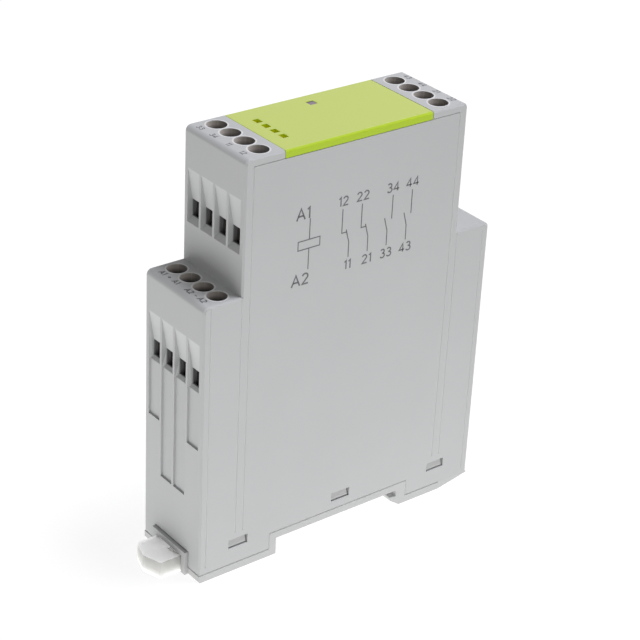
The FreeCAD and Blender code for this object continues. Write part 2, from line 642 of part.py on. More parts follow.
# --- rail clip -------------------------------------------------------------------------
def rail_clip():
    """Sliding clip: pointed handle outside, two arms, a bridge and the catch."""
    mouth = -HALF_TIER + 0.4
    handle = prism_xy([
        (mouth, -CLIP_HALF, 0), (-HALF_TIER - CLIP_SHOULDER, -CLIP_HALF, 0.6),
        (-HALF_TIER - CLIP_NOSE, 0, 1.5), (-HALF_TIER - CLIP_SHOULDER, CLIP_HALF, 0.6),
        (mouth, CLIP_HALF, 0)], (CLIP_BOTTOM, CLIP_TOP))
    nick = prism_xy([
        (-GUIDE_FRONT, 1 - CLIP_HALF, 0), (-GUIDE_FRONT, -CLIP_NICK, 0),
        (-GUIDE_FRONT - CLIP_NICK, -CLIP_NICK, 0)], (CLIP_TOP - CLIP_NICK_DEPTH, CLIP_TOP + 1))
    handle = handle.cut(nick)
    bridge_left = CATCH_ROOT - BRIDGE_LENGTH
    arms = [box((mouth - 1, bridge_left + 1), (s * ARM_INNER, s * ARM_OUTER),
                (ARM_BOTTOM, ARM_TOP)) for s in (-1, 1)]
    bridge = box((bridge_left, CATCH_ROOT), (-ARM_OUTER, ARM_OUTER), (ARM_BOTTOM, ARM_TOP))
    catch = prism_xz([
        (CATCH_ROOT, ARM_BOTTOM, 0), (CATCH_TIP, CATCH_TOP - 0.6, 0),
        (CATCH_TIP, CATCH_TOP, 0), (CATCH_ROOT, CATCH_TOP, 0)],
        (CATCH_STEP - ARM_OUTER, ARM_OUTER - CATCH_STEP))
    return fuse([handle, bridge, catch] + arms)


def clip_spring():
    """Folded strip spring between the post of the foot piece and the clip's bridge."""
    start = POST_X + POST_SIZE / 2 + FIT
    length = CATCH_ROOT - BRIDGE_LENGTH - FIT - start
    step = length / (2 * SPRING_FOLDS)
    low = [(start + n * step, SPRING_HALF - SPRING_FOLD if n % 2 else -SPRING_HALF)
           for n in range(2 * SPRING_FOLDS + 1)]
    high = [(x, y + SPRING_FOLD) for x, y in reversed(low)]
    return prism_xy([(x, y, 0) for x, y in low + high], (ARM_BOTTOM, ARM_TOP))


# --- terminals -------------------------------------------------------------------------
def terminal_screw(bank, y):
    """Slotted clamping screw; its tip bears on the conductor bar."""
    top = BANKS[bank][2]
    x = bank_x(bank, AXIS_INSET)
    head_z = top - HEAD_TOP
    head = upright(x, y, (head_z, head_z - HEAD_HEIGHT), HEAD_RADIUS)
    shank = upright(x, y, (head_z - HEAD_HEIGHT, top - BAR_TOP + FIT), SCREW_RADIUS)
    drive = box((x - HEAD_RADIUS, x + HEAD_RADIUS), column_span(y, DRIVE_SLOT),
                (head_z - DRIVE_DEPTH, head_z + 1))
    return head.fuse(shank).removeSplitter().cut(drive)


def terminal_clamp(bank, y):
    """Lifting cage round the conductor bar, with the screw through its top."""
    top = BANKS[bank][2]
    x = bank_x(bank, AXIS_INSET)
    u_span = (AXIS_INSET - CLAMP_LENGTH / 2, AXIS_INSET + CLAMP_LENGTH / 2)
    cage = bank_box(bank, u_span, column_span(y, CLAMP_WIDTH),
                    (CLAMP_ROOF - CLAMP_TOP, THROAT_BOTTOM + CLAMP_FLOOR))
    long_edges = [e for e in cage.Edges if e.BoundBox.XLength > CLAMP_LENGTH - 1e-6]
    cage = cage.makeChamfer(CLAMP_SIDE / 2, long_edges)
    window = bank_box(bank, (0, CHAMBER_END), column_span(y, CLAMP_WIDTH - 2 * CLAMP_SIDE),
                      (CLAMP_ROOF, THROAT_BOTTOM))
    thread = upright(x, y, (top, top - BAR_TOP), SCREW_RADIUS + SCREW_FIT)
    return cut(cage, [window, thread])


def leg_places(bank):
    """(column, x) of the leg with which each conductor bar goes through the board."""
    for n, y in enumerate(reversed(COLUMNS)):
        yield y, bank_x(bank, BANK_LENGTH + PIN_INSET + n * PIN_PITCH)


def conductor_bars(bank):
    """Four bars from the clamps to the board: flat strip, shoulder, narrow tail, leg."""
    side, _, top = BANKS[bank]
    z_span = (top - THROAT_TOP, top - BAR_TOP)
    bars = []
    for y, leg_x in leg_places(bank):
        start = bank_x(bank, AXIS_INSET - CLAMP_LENGTH / 2 + CLAMP_SIDE)
        strip = box((start, bank_x(bank, BANK_LENGTH)), column_span(y, BAR_WIDTH), z_span)
        near = min(y - BAR_WIDTH / 2 if y > 0 else y, BOARD_FACE - TAIL_PLAY - PIN_SIZE)
        shoulder = box((bank_x(bank, BANK_LENGTH), bank_x(bank, BANK_LENGTH + BAR_SHOULDER)),
                       (near, y + PIN_SIZE / 2), z_span)
        tail_end = leg_x - side * PIN_SIZE / 2
        tail = box((bank_x(bank, BANK_LENGTH), tail_end), (near, near + PIN_SIZE), z_span)
        leg = box((leg_x - PIN_SIZE / 2, leg_x + PIN_SIZE / 2), (near, PIN_END), z_span)
        bars.append(fuse([strip, shoulder, tail, leg]))
    return Part.makeCompound(bars)


# --- circuit board ---------------------------------------------------------------------
def contact_x(n):
    return CONTACT_FIRST + n * CONTACT_PITCH


def contact_side(n):
    """-1: the outer pair closes when the slide moves to -X; +1: the inner pair opens."""
    return -1 if n in (0, 3) else 1


def fixed_x(n):
    """Face of the fixed post that the moving blade meets."""
    side = contact_side(n)
    gap = OPEN_GAP if side < 0 else CLOSED_GAP
    return contact_x(n) + side * (BLADE_THICKNESS / 2 + TIP_HEIGHT + gap + TIP_HEIGHT)


def relay_pin_places():
    """(x, z) of every pin of the relay."""
    places = [(contact_x(n), CONTACT_Z) for n in range(POLES)]
    places += [(fixed_x(n) + contact_side(n) * POST_THICKNESS / 2, CONTACT_Z)
               for n in range(POLES)]
    return places + coil_pin_places()


def coil_pin_places():
    return [(BOBBIN_LEFT + COIL_PIN_INSET, COIL_Z + s * (FLANGE_HALF + COIL_PIN_STEP))
            for s in (-1, 1)]


def pin_hole(x, z, y_span):
    half = PIN_SIZE / 2 + FIT
    return box((x - half, x + half), y_span, (z - half, z + half))


def circuit_board():
    edge = BOARD_PLAY
    upper = HALF_BLOCK - BANK_LENGTH - edge
    tier = HALF_TIER - WALL - edge
    block = HALF_BLOCK - WALL - edge
    left = min(block, HALF_TIER - BANK_LENGTH - edge)
    under_tier = TIER_TOP - BANK_DEPTH - edge
    under_block = BLOCK_TOP - BANK_DEPTH - edge
    foot = SKIRT_TOP + FIT
    board = prism_xz([
        (-tier, foot, 0.5), (tier, foot, 0.5), (tier, TIER_TOP - WALL - edge, 0.5),
        (block, TIER_TOP - WALL - edge, 0), (block, under_block, 0.5), (upper, under_block, 0),
        (upper, BOARD_TOP, 0.5), (-upper, BOARD_TOP, 0.5), (-upper, under_block, 0),
        (-left, under_block, 0.5), (-left, under_tier, 0), (-tier, under_tier, 0.5),
    ], (BOARD_FACE, BOARD_BACK))
    span = (BOARD_FACE - 1, BOARD_BACK + 1)
    holes = []
    for bank in BANKS:
        z = BANKS[bank][2] - (BAR_TOP + THROAT_TOP) / 2
        holes += [pin_hole(x, z, span) for _, x in leg_places(bank)]
    holes += [pin_hole(x, z, span) for x, z in relay_pin_places()]
    return cut(board, holes)


def rise(height):
    """Y of a height above the component side of the board."""
    return BOARD_FACE - height


def led():
    half = LED_SIZE / 2
    return box((LAMP_X - half, LAMP_X + half), (BOARD_FACE - LED_SIZE, BOARD_FACE),
               (LED_TOP - LED_SIZE, LED_TOP))


def bridge_rectifier():
    top = rise(RECTIFIER_HEIGHT)
    foot = COMPONENT_ROW - RECTIFIER_BEVEL * 4
    body = box((RECTIFIER_END, RECTIFIER_END + RECTIFIER_LENGTH), (BOARD_FACE, top),
               (foot, foot + RECTIFIER_WIDTH))
    return body.makeChamfer(RECTIFIER_BEVEL,
                            [e for e in body.Edges if e.BoundBox.YMax < top + 1e-3])


def varistor():
    disc = across(VARISTOR_X, (rise(VARISTOR_FOOT), rise(VARISTOR_FOOT + VARISTOR_THICKNESS)),
                  COMPONENT_ROW, VARISTOR_RADIUS)
    leads = box(column_span(VARISTOR_X, VARISTOR_LEAD_SPAN), (rise(0), rise(VARISTOR_THICKNESS)),
                column_span(COMPONENT_ROW, VARISTOR_LEAD_WIDTH))
    return disc.fuse(leads).removeSplitter()


def capacitor():
    return across(CAPACITOR_X, (rise(0), rise(CAPACITOR_HEIGHT)), COMPONENT_ROW,
                  CAPACITOR_RADIUS)


def resistors():
    """Two wire-ended resistors, each lying on its bent leads."""
    end = RESISTOR_END + RESISTOR_LENGTH
    half = RESISTOR_LEAD / 2
    outer = (RESISTOR_END - RESISTOR_LEAD_REACH, end + RESISTOR_LEAD_REACH)
    pieces = []
    for n in range(2):
        z = COMPONENT_ROW + RESISTOR_LIFT + RESISTOR_PITCH * n
        z_span = (z - half, z + half)
        body = lying((RESISTOR_END, end), rise(RESISTOR_RISE), z, RESISTOR_RADIUS)
        leads = [box((near, far), (rise(RESISTOR_RISE - half), rise(RESISTOR_RISE + half)), z_span)
                 for near, far in ((RESISTOR_END, outer[0]), (end, outer[1]))]
        leads += [box((x, x + s * RESISTOR_LEAD), (rise(0), rise(RESISTOR_RISE + half)), z_span)
                  for x, s in ((outer[0], 1), (outer[1], -1))]
        pieces.append(fuse([body] + leads))
    return Part.makeCompound(pieces)


# --- relay -----------------------------------------------------------------------------
def relay_base():
    edge = RELAY_WALL + FIT
    half = RELAY_HALF - edge
    plate = box((-half, half), (rise(0), rise(RELAY_PLATE)),
                (RELAY_FOOT + edge, RELAY_TOP - edge))
    holes = [pin_hole(x, z, (rise(-1), rise(RELAY_PLATE + 1)))
             for x, z in relay_pin_places()]
    wall_foot = CONTACT_Z + SLIDE_WIDTH / 2 + PARTITION_PLAY
    wall = box((-half, ARMATURE_FACE - 2), (rise(RELAY_PLATE), rise(SLIDE_RISE - 1)),
               (wall_foot, wall_foot + PARTITION))
    return cut(fuse([plate, wall]), holes)


def relay_cover():
    half = RELAY_HALF
    shell = box((-half, half), (rise(FIT), rise(RELAY_HEIGHT)), (RELAY_FOOT, RELAY_TOP))
    shell = shell.makeChamfer(0.5, [e for e in shell.Edges
                                    if e.BoundBox.YMax < rise(RELAY_HEIGHT) + 1e-3])
    hollow = box((RELAY_WALL - half, half - RELAY_WALL),
                 (rise(FIT - 1), rise(RELAY_ROOF)),
                 (RELAY_FOOT + RELAY_WALL, RELAY_TOP - RELAY_WALL))
    return shell.cut(hollow)


def coil_span(half):
    """Y and Z spans of a square section round the coil axis."""
    return ((rise(COIL_RISE - half), rise(COIL_RISE + half)), (COIL_Z - half, COIL_Z + half))


def coil_bobbin():
    flanges = [box((x, x + FLANGE_THICKNESS), *coil_span(FLANGE_HALF))
               for x in (BOBBIN_LEFT, BOBBIN_RIGHT - FLANGE_THICKNESS)]
    tube = box((BOBBIN_LEFT, BOBBIN_RIGHT), *coil_span(BOBBIN_HALF))
    bore = lying((BOBBIN_LEFT - 1, BOBBIN_RIGHT + 1), rise(COIL_RISE), COIL_Z,
                 CORE_RADIUS + FIT)
    return fuse(flanges + [tube]).cut(bore)


def coil_winding():
    span = (BOBBIN_LEFT + FLANGE_THICKNESS + FIT, BOBBIN_RIGHT - FLANGE_THICKNESS - FIT)
    outside = box(span, *coil_span(FLANGE_HALF - WINDING_STEP))
    corners = [e for e in outside.Edges if e.BoundBox.XLength > 1]
    outside = outside.makeChamfer(WINDING_CORNER, corners)
    return outside.cut(box(span, *coil_span(BOBBIN_HALF + FIT / 2)))


def coil_core():
    rod = lying((BOBBIN_LEFT - FIT, POLE_FACE), rise(COIL_RISE), COIL_Z, CORE_RADIUS)
    head = lying((POLE_FACE - POLE_THICKNESS, POLE_FACE), rise(COIL_RISE), COIL_Z,
                 FLANGE_HALF - POLE_STEP)
    return fuse([rod, head])


def yoke():
    """L-shaped iron strip: one leg under the coil, one behind it."""
    end = ARMATURE_FACE - YOKE_GAP
    front = YOKE_BACK + YOKE_THICKNESS
    top = COIL_RISE + FLANGE_HALF
    corners = [
        (end, YOKE_FOOT, 0), (YOKE_BACK, YOKE_FOOT, YOKE_BEND), (YOKE_BACK, top, 0),
        (front, top, 0), (front, YOKE_FOOT + YOKE_THICKNESS, 0),
        (end, YOKE_FOOT + YOKE_THICKNESS, 0),
    ]
    return prism_xy([(x, rise(height), r) for x, height, r in corners],
                    (COIL_Z - FLANGE_HALF, COIL_Z + FLANGE_HALF))


def armature():
    """Hinged iron plate with an ear that moves the contact slide."""
    half = FLANGE_HALF
    x_span = (ARMATURE_FACE, ARMATURE_BACK)
    top = COIL_RISE + half
    plate = box(x_span, (rise(PIVOT_RISE - 0.3), rise(top)), (COIL_Z - half, COIL_Z + half))
    ear = box(x_span, (rise(SLIDE_RISE - 0.4), rise(top)),
              (COIL_Z - half - EAR_DEPTH, COIL_Z - half))
    return fuse([plate, ear])


def contact_slide():
    """Card that holds the tips of all four blades, so no blade moves alone."""
    y_span = (rise(SLIDE_RISE), rise(SLIDE_TOP))
    ear_foot = COIL_Z - FLANGE_HALF - EAR_DEPTH
    right = ARMATURE_BACK + BLADE_PLAY + SLIDE_RIM
    strip = box((contact_x(0) - SLIDE_RIM - 1, right), y_span,
                (CONTACT_Z - SLIDE_WIDTH / 2, CONTACT_Z + SLIDE_WIDTH / 2))
    arm = box((ARMATURE_FACE - BLADE_PLAY - SLIDE_RIM, right), y_span,
              (CONTACT_Z, ear_foot + EAR_DEPTH - 0.4))
    slots = [box((contact_x(n) - BLADE_THICKNESS / 2 - BLADE_PLAY,
                  contact_x(n) + BLADE_THICKNESS / 2 + BLADE_PLAY),
                 (rise(SLIDE_RISE - 1), rise(SLIDE_TOP + 1)),
                 (CONTACT_Z - BLADE_WIDTH / 2 - FIT, CONTACT_Z + BLADE_WIDTH / 2 + FIT))
             for n in range(POLES)]
    slots.append(box((ARMATURE_FACE - BLADE_PLAY, ARMATURE_BACK + BLADE_PLAY),
                     (rise(SLIDE_RISE - 1), rise(SLIDE_TOP + 1)), (ear_foot - FIT, COIL_Z)))
    return cut(fuse([strip, arm]), slots)


def contact_tip(x_span):
    half = TIP_WIDTH / 2
    return box(x_span, (rise(TIP_RISE - half), rise(TIP_RISE + half)),
               (CONTACT_Z - half, CONTACT_Z + half))


def moving_contact(n):
    """Blade with its silver tip towards the fixed contact."""
    x = contact_x(n)
    side = contact_side(n)
    half = BLADE_THICKNESS / 2
    blade = box((x - half, x + half), (rise(RELAY_PLATE + FIT), rise(BLADE_TOP)),
                (CONTACT_Z - BLADE_WIDTH / 2, CONTACT_Z + BLADE_WIDTH / 2))
    return fuse([blade, contact_tip((x, x + side * (half + TIP_HEIGHT)))])


def fixed_contacts():
    pieces = []
    for n in range(POLES):
        side = contact_side(n)
        face = fixed_x(n)
        middle = face + side * POST_THICKNESS / 2
        post = box((face, face + side * POST_THICKNESS),
                   (rise(RELAY_PLATE), rise(POST_TOP)),
                   (CONTACT_Z - BLADE_WIDTH / 2, CONTACT_Z + BLADE_WIDTH / 2))
        tip = contact_tip((face - side * TIP_HEIGHT, face))
        pin = box((middle - POST_THICKNESS / 2, middle + POST_THICKNESS / 2),
                  (PIN_END, rise(RELAY_PLATE)),
                  (CONTACT_Z - PIN_SIZE / 2, CONTACT_Z + PIN_SIZE / 2))
        pieces.append(fuse([post, tip, pin]))
    return Part.makeCompound(pieces)


def relay_pins():
    """Pins below the four blades and the two coil pins."""
    half = PIN_SIZE / 2
    pins = [box((contact_x(n) - BLADE_THICKNESS, contact_x(n) + BLADE_THICKNESS),
                (PIN_END, rise(RELAY_PLATE)), (CONTACT_Z - half, CONTACT_Z + half))
            for n in range(POLES)]
    pins += [box((x - half, x + half), (PIN_END, rise(RELAY_PLATE + 3)), (z - half, z + half))
             for x, z in coil_pin_places()]
    return Part.makeCompound(pins)


# --- all pieces ------------------------------------------------------------------------
def all_parts():
    parts = {
        "housing": housing(), "front_plate": front_plate(), "light_guide": light_guide(),
        "rail_base": rail_base(), "rail_clip": rail_clip(), "clip_spring": clip_spring(),
        "circuit_board": circuit_board(), "led": led(),
        "bridge_rectifier": bridge_rectifier(), "varistor": varistor(),
        "capacitor": capacitor(), "resistors": resistors(),
        "relay_base": relay_base(), "relay_cover": relay_cover(),
        "coil_bobbin": coil_bobbin(), "coil_winding": coil_winding(),
        "coil_core": coil_core(), "coil_yoke": yoke(), "armature": armature(),
        "contact_slide": contact_slide(), "fixed_contacts": fixed_contacts(),
        "relay_pins": relay_pins(),
    }
    for n in range(POLES):
        parts[f"moving_contact_{n + 1}"] = moving_contact(n)
    for bank in BANKS:
        parts[f"conductor_bars_{bank}"] = conductor_bars(bank)
        for n, y in enumerate(COLUMNS):
            parts[f"screw_{bank}_{n + 1}"] = terminal_screw(bank, y)
            parts[f"clamp_{bank}_{n + 1}"] = terminal_clamp(bank, y)
    return parts


os.makedirs("parts", exist_ok=True)
for name, shape in all_parts().items():
    shape.exportStep(f"parts/{name}.step")
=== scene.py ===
import json
import math
import bmesh
import bpy
from mathutils import Matrix, Vector


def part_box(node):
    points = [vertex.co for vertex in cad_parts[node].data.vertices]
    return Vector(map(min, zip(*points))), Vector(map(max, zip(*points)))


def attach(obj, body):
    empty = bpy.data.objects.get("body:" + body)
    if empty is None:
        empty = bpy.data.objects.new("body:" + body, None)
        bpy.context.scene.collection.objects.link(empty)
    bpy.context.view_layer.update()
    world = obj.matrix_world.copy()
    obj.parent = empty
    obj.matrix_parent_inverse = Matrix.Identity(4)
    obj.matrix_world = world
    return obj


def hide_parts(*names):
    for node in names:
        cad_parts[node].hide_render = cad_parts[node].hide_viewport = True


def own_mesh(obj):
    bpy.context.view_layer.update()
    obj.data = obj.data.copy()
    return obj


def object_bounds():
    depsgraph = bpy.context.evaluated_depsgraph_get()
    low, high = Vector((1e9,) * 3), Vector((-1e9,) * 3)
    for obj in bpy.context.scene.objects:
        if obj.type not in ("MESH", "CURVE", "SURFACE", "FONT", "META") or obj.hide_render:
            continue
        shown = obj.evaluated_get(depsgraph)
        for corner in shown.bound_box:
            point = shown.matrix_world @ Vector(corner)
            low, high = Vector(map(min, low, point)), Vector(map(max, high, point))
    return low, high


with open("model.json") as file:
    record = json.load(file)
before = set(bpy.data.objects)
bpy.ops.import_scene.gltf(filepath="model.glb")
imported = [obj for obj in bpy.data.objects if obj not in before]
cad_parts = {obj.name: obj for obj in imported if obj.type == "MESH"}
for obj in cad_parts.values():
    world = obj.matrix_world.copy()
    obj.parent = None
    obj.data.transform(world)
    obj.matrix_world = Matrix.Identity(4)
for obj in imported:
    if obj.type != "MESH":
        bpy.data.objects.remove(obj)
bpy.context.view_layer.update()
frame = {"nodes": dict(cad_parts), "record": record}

MM = 0.001
NODES = frame["nodes"]


# --- places read from the frame ----------------------------------------------------------
def highest(node, x_from, x_to):
    """Height of the highest point of a node between two X values."""
    return max(v.co.z for v in NODES[node].data.vertices if x_from <= v.co.x <= x_to)


def centre(node):
    low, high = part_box(node)
    return (low + high) / 2


HOUSING_LO, HOUSING_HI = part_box("housing")
PLATE_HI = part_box("front_plate")[1]
BLOCK_TOP = PLATE_HI.z
TIER_TOP = highest("housing", HOUSING_LO.x, HOUSING_LO.x + 5 * MM)
TIER_HALF = HOUSING_HI.x
BLOCK_HALF = max(v.co.x for v in NODES["housing"].data.vertices if v.co.z > TIER_TOP + 5 * MM)
NEAR_SIDE = HOUSING_LO.y
FUNNEL_LEAN = 0.158              # downward part of the normal of the funnels' slopes
CHAMBER_SKIN = 1.25 * MM         # the chambers begin this far behind the end faces,
CHAMBER_SIDE = 0.7 * MM          # this far in from the flat sides
CHAMBER_DEPTH = 12 * MM          # and this far below the tops,
CHAMBER_LOWEST = 30 * MM         # and end at this height
WELL_UPPER, WELL_LOWER = (abs(centre(f"screw_{bank}_left_1").x) for bank in ("upper", "lower"))
PITCH = abs(centre("screw_upper_left_2").y - centre("screw_upper_left_1").y)
WELL_RADIUS = 2.3 * MM           # the wells are the screwdriver holes
WELL_DEPTH = 5 * MM
WELL_LIP = 0.08 * MM             # their walls' painted light and shade begins this far below the top
WELL_RIM = 0.34 * MM             # width of the painted highlight ring round each
BODY_ROUNDING = 0.1 * MM         # rounded edges of the moulded pieces,
SCREW_ROUNDING = 0.06 * MM       # of the screws and cages
SPRING_ROUNDING = 0.05 * MM      # and of the spring


# --- materials ---------------------------------------------------------------------------
# tones are factors on a colour
# painted light: the funnels' slopes are made paler
FUNNEL_PAINTED_LIGHT = 1.14
# painted shade inside the terminal chambers
CHAMBER_PAINTED_SHADE = 0.45
# painted light in the upright grooves
GROOVE_PAINTED_LIGHT = 1.14
# painted highlight on a ring round each well
WELL_RIM_HIGHLIGHT = 1.4
WELL_SIDE_LIGHT_AND_SHADE = (1.8, 0.4)     # painted light and shade on a well's pale and dark side,
WELL_SHADED_SIDE = (0.78, -0.63)   # which lies this way from its axis
WELL_DEEP_SHADE = 0.12            # painted shade deep in a well, reached between these depths
WELL_DIM_FROM, WELL_DIM_TO = 0.9 * MM, 2.3 * MM
NOISE_RANGE = (0.3, 0.7)         # noise seldom leaves it
CLOUD, GRAIN, GRAIN_HEIGHT = 18 * MM, 0.22 * MM, 0.006 * MM           # of moulded plastic
STAIN, SCRATCH, SCRATCH_HEIGHT = 1.5 * MM, 0.15 * MM, 0.003 * MM      # of metal
THREAD_PITCH = 0.5 * MM
THREAD_DEPTH = 0.06 * MM
SHEEN_DEPTH = 0.2 * MM            # the painted sheen on the plate's top face reaches this far down
SLOT_BORDER, SLOT_DEPTH = 1.2 * MM, 0.3 * MM    # its slots lie this far in and down


def linear(*rgb):
    """Linear colour of an sRGB triple in 0..255."""
    def one(v):
        v /= 255
        return v / 12.92 if v <= 0.04045 else ((v + 0.055) / 1.055) ** 2.4
    return tuple(one(v) for v in rgb) + (1.0,)


class Shader:
    """A material under construction: a Principled shader and short calls for its nodes."""

    def __init__(self, name, color, roughness, metallic=0.0, **sockets):
        self.material = bpy.data.materials.new(name)
        self.material.use_nodes = True
        self.tree = self.material.node_tree
        self.bsdf = self.tree.nodes["Principled BSDF"]
        self.color = linear(*color)
        self.bsdf.inputs["Base Color"].default_value = self.color
        self.bsdf.inputs["Roughness"].default_value = roughness
        self.bsdf.inputs["Metallic"].default_value = metallic
        for key, value in sockets.items():
            self.bsdf.inputs[key.replace("_", " ")].default_value = value
        self.object_co = self.node("ShaderNodeTexCoord").outputs["Object"]

    def node(self, kind, **settings):
        made = self.tree.nodes.new(kind)
        for key, value in settings.items():
            setattr(made, key, value)
        return made

    def link(self, source, target):
        self.tree.links.new(source, target)

    def noise(self, size, detail, rough=0.5):
        """Noise with features of that size in metres."""
        made = self.node("ShaderNodeTexNoise")
        made.inputs["Scale"].default_value = 1 / size
        made.inputs["Detail"].default_value = detail
        made.inputs["Roughness"].default_value = rough
        self.link(self.object_co, made.inputs["Vector"])
        return made.outputs["Fac"]

    def ramp(self, source, low, high, start=0.0, end=1.0):
        """Maps source from start..end to low..high."""
        made = self.node("ShaderNodeMapRange")
        for key, value in (("From Min", start), ("From Max", end), ("To Min", low), ("To Max", high)):
            made.inputs[key].default_value = value
        self.link(source, made.inputs["Value"])
        return made.outputs["Result"]

    def shade(self, source, dark, bright):
        """Base colour times a factor that follows source from dark to bright."""
        value = self.ramp(source, dark, bright, *NOISE_RANGE)
        mix = self.node("ShaderNodeVectorMath", operation="SCALE")
        mix.inputs[0].default_value = self.color[:3]
        self.link(value, mix.inputs["Scale"])
        self.link(mix.outputs[0], self.bsdf.inputs["Base Color"])

    def math(self, operation, *values):
        made = self.node("ShaderNodeMath", operation=operation)
        for socket, value in zip(made.inputs, values):
            if isinstance(value, (int, float)):
                socket.default_value = value
            else:
                self.link(value, socket)
        return made.outputs[0]

    def product(self, first, *others):
        for other in others:
            first = self.math("MULTIPLY", first, other)
        return first

    def size(self, value):
        return self.math("ABSOLUTE", value)

    def axes(self, vector):
        """The X, Y and Z parts of a vector."""
        made = self.node("ShaderNodeSeparateXYZ")
        self.link(vector, made.inputs[0])
        return made.outputs

    def normal(self):
        return self.axes(self.node("ShaderNodeTexCoord").outputs["Normal"])

    def between(self, source, low=None, high=None, fade=0.05 * MM):
        """1 where source lies between two values, with a short fade outside them."""
        parts = []
        if low is not None:
            parts.append(self.ramp(source, 0, 1, low - fade, low))
        if high is not None:
            parts.append(self.ramp(source, 1, 0, high, high + fade))
        return self.product(*parts)

    def scale_color(self, factor):
        """Multiplies what feeds the base colour."""
        mix = self.node("ShaderNodeVectorMath", operation="SCALE")
        self.link(self.bsdf.inputs["Base Color"].links[0].from_socket, mix.inputs[0])
        self.link(factor, mix.inputs["Scale"])
        self.link(mix.outputs[0], self.bsdf.inputs["Base Color"])

    def mix_color(self, factor, color):
        """Turns what feeds the base colour into another colour where the factor is 1."""
        mix = self.node("ShaderNodeMix", data_type="RGBA")
        self.link(factor, mix.inputs["Factor"])
        self.link(self.bsdf.inputs["Base Color"].links[0].from_socket, mix.inputs[6])
        mix.inputs[7].default_value = linear(*color)
        self.link(mix.outputs[2], self.bsdf.inputs["Base Color"])

    def rough(self, source, low, high):
        """Roughness that follows source from low to high."""
        value = self.ramp(source, low, high, *NOISE_RANGE)
        self.link(value, self.bsdf.inputs["Roughness"])

    def bump(self, source, height):
        """Bump of that height in metres."""
        made = self.node("ShaderNodeBump")
        made.inputs["Distance"].default_value = height
        self.link(source, made.inputs["Height"])
        self.link(made.outputs["Normal"], self.bsdf.inputs["Normal"])


def moulded(name, color, roughness=0.55, height=GRAIN_HEIGHT, **sockets):
    """Moulded plastic with a fine spark-eroded grain and faint tone changes."""
    s = Shader(name, color, roughness, **sockets)
    s.shade(s.noise(CLOUD, 3.0), 0.985, 1.01)
    fine = s.noise(GRAIN, 3.0, 0.6)
    s.rough(fine, roughness - 0.05, roughness + 0.06)
    s.bump(fine, height)
    return s


def metal(name, color, roughness):
    """Plated or rolled metal with a cloudy finish."""
    s = Shader(name, color, roughness, 1.0)
    s.shade(s.noise(STAIN, 4.0), 0.86, 1.06)
    fine = s.noise(SCRATCH, 2.0)
    s.rough(fine, roughness - 0.08, roughness + 0.12)
    s.bump(fine, SCRATCH_HEIGHT)
    return s


def threaded(name, color):
    """Screw steel, with a fine thread on the upright faces."""
    s = metal(name, color, 0.34)
    turn = s.product(s.axes(s.object_co)[2], 2 * math.pi / THREAD_PITCH)
    upright = s.ramp(s.size(s.normal()[2]), 1, 0, 0.1, 0.3)
    s.bump(s.product(s.math("SINE", turn), upright), THREAD_DEPTH)
    return s


def screw_wells(s, x, y, z):
    """Where the walls of the wells are, the painted light and shade on them, and where their rims
    are.
    """
    # the wells stand half a pitch off the middle, in four columns; this is Y from the nearest
    column = s.product(PITCH, s.math("SUBTRACT", s.math("FRACT", s.math("DIVIDE", y, PITCH)), 0.5))
    walls, tones, rims = [], [], []
    for top, well, bank_end in ((BLOCK_TOP, WELL_UPPER, TIER_HALF), (TIER_TOP, WELL_LOWER, 0)):
        reach = s.product(s.math("SIGN", x), s.math("SUBTRACT", s.size(x), well))
        radius = s.math("SQRT", s.math("ADD", s.product(reach, reach), s.product(column, column)))
        bank = s.product(s.between(x, high=bank_end), s.between(s.size(y), high=2 * PITCH))
        wall = s.product(bank, s.between(z, low=top - WELL_DEPTH, high=top - WELL_LIP),
                         s.between(radius, high=WELL_RADIUS + 0.05 * MM))
        darker = s.math("ADD", *(s.product(part, along)
                                 for part, along in zip((reach, column), WELL_SHADED_SIDE)))
        # painted light and shade: the wall is paler on one side of the well and darker on the other
        by_side = s.ramp(darker, *WELL_SIDE_LIGHT_AND_SHADE, -0.9 * WELL_RADIUS, 0.8 * WELL_RADIUS)
        # painted shade: the wall darkens with depth
        by_depth = s.ramp(z, WELL_DEEP_SHADE, 1, top - WELL_DIM_TO, top - WELL_DIM_FROM)
        walls.append(wall)
        tones.append(s.product(wall, by_side, by_depth))
        # the rims, which get a painted highlight
        rims.append(s.product(bank, s.between(z, low=top - BODY_ROUNDING, high=top + 1 * MM),
                              s.between(radius, high=WELL_RADIUS + WELL_RIM)))
    return [s.math("MAXIMUM", *pair) for pair in (walls, tones, rims)]


def terminal_chambers(s, x, y, z):
    """1 inside the rooms behind the wire funnels, where shade is painted into the housing."""
    rooms = [s.product(s.between(s.size(x), high=half - CHAMBER_SKIN),
                       s.between(z, high=top - CHAMBER_DEPTH))
             for half, top in ((BLOCK_HALF, BLOCK_TOP), (TIER_HALF, TIER_TOP))]
    return s.product(s.math("MAXIMUM", *rooms),
                     s.between(s.size(y), high=-NEAR_SIDE - CHAMBER_SIDE),
                     s.between(z, low=CHAMBER_LOWEST))


def upright_grooves(s):
    """1 on the flanks of the upright V grooves, told by the slope of their faces; they get painted
    light.
    """
    flat = s.axes(s.node("ShaderNodeNewGeometry").outputs["True Normal"])
    return s.product(s.between(s.size(flat[1]), 0.73, 0.76, 0.01),
                     s.between(s.size(flat[0]), low=0.6))


